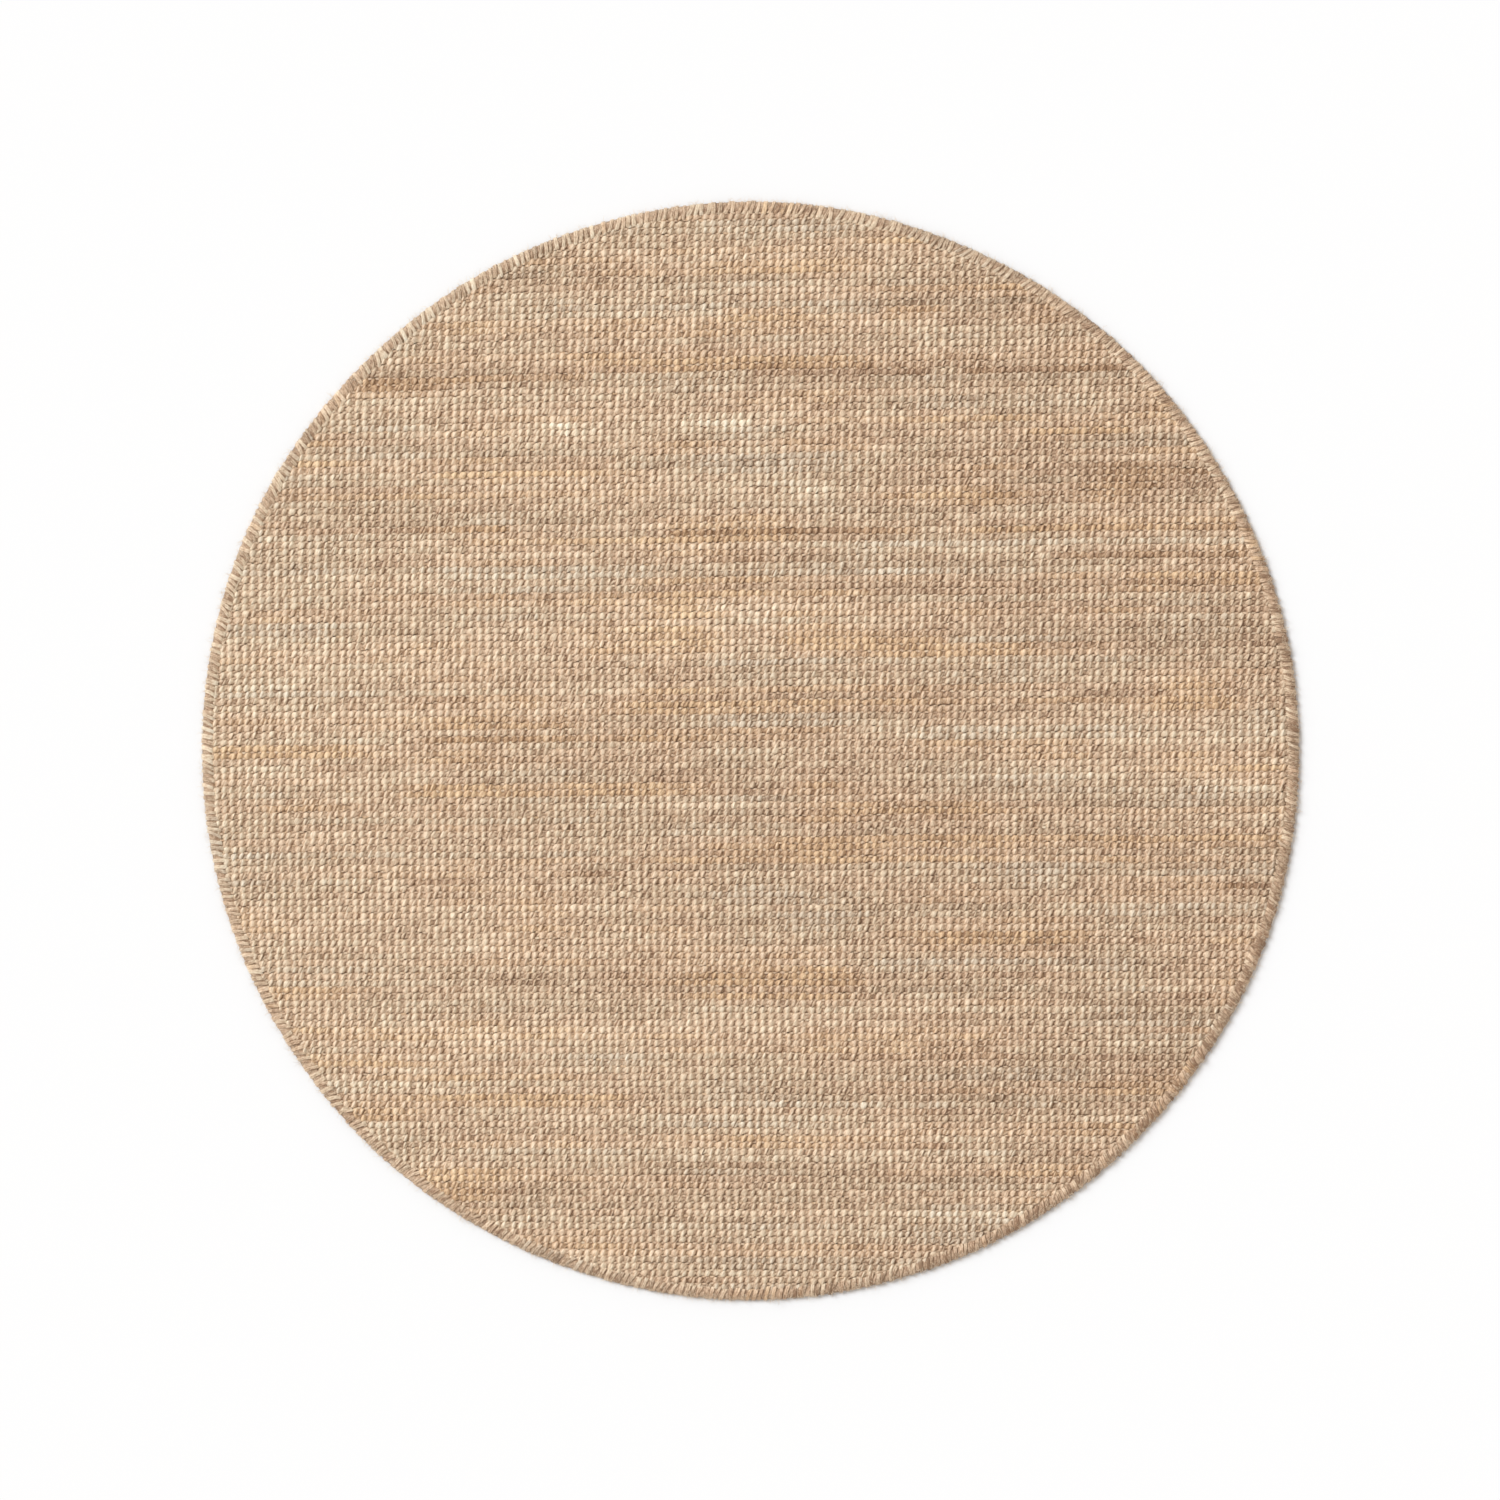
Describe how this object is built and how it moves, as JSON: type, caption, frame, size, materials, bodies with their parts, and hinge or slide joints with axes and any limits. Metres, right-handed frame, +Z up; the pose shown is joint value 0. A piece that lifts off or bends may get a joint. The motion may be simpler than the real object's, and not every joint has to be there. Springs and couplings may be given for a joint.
{
  "type": "round jute rug",
  "caption": "Flat round rug of hand-woven jute, with ribs of soft yarn bumps across it and an edge overcast in jute yarn; lies flat on a floor.",
  "frame": {"origin": "on the floor, under the middle of the rug", "axes": "+Z up out of the upper face, +X along the thick yarns, +Y along the ribs"},
  "size_m": [1.5002, 1.5022, 0.01],
  "materials": {
    "woven_jute": "undyed jute in cream, tan and grey-brown streaks, dull with a faint silky sheen on the soft yarns",
    "overcast_yarn": "golden tan jute yarn, dull and hairy"
  },
  "bodies": {
    "root": {"field": "woven_jute", "edge_binding": "overcast_yarn"}
  },
  "joints": []
}
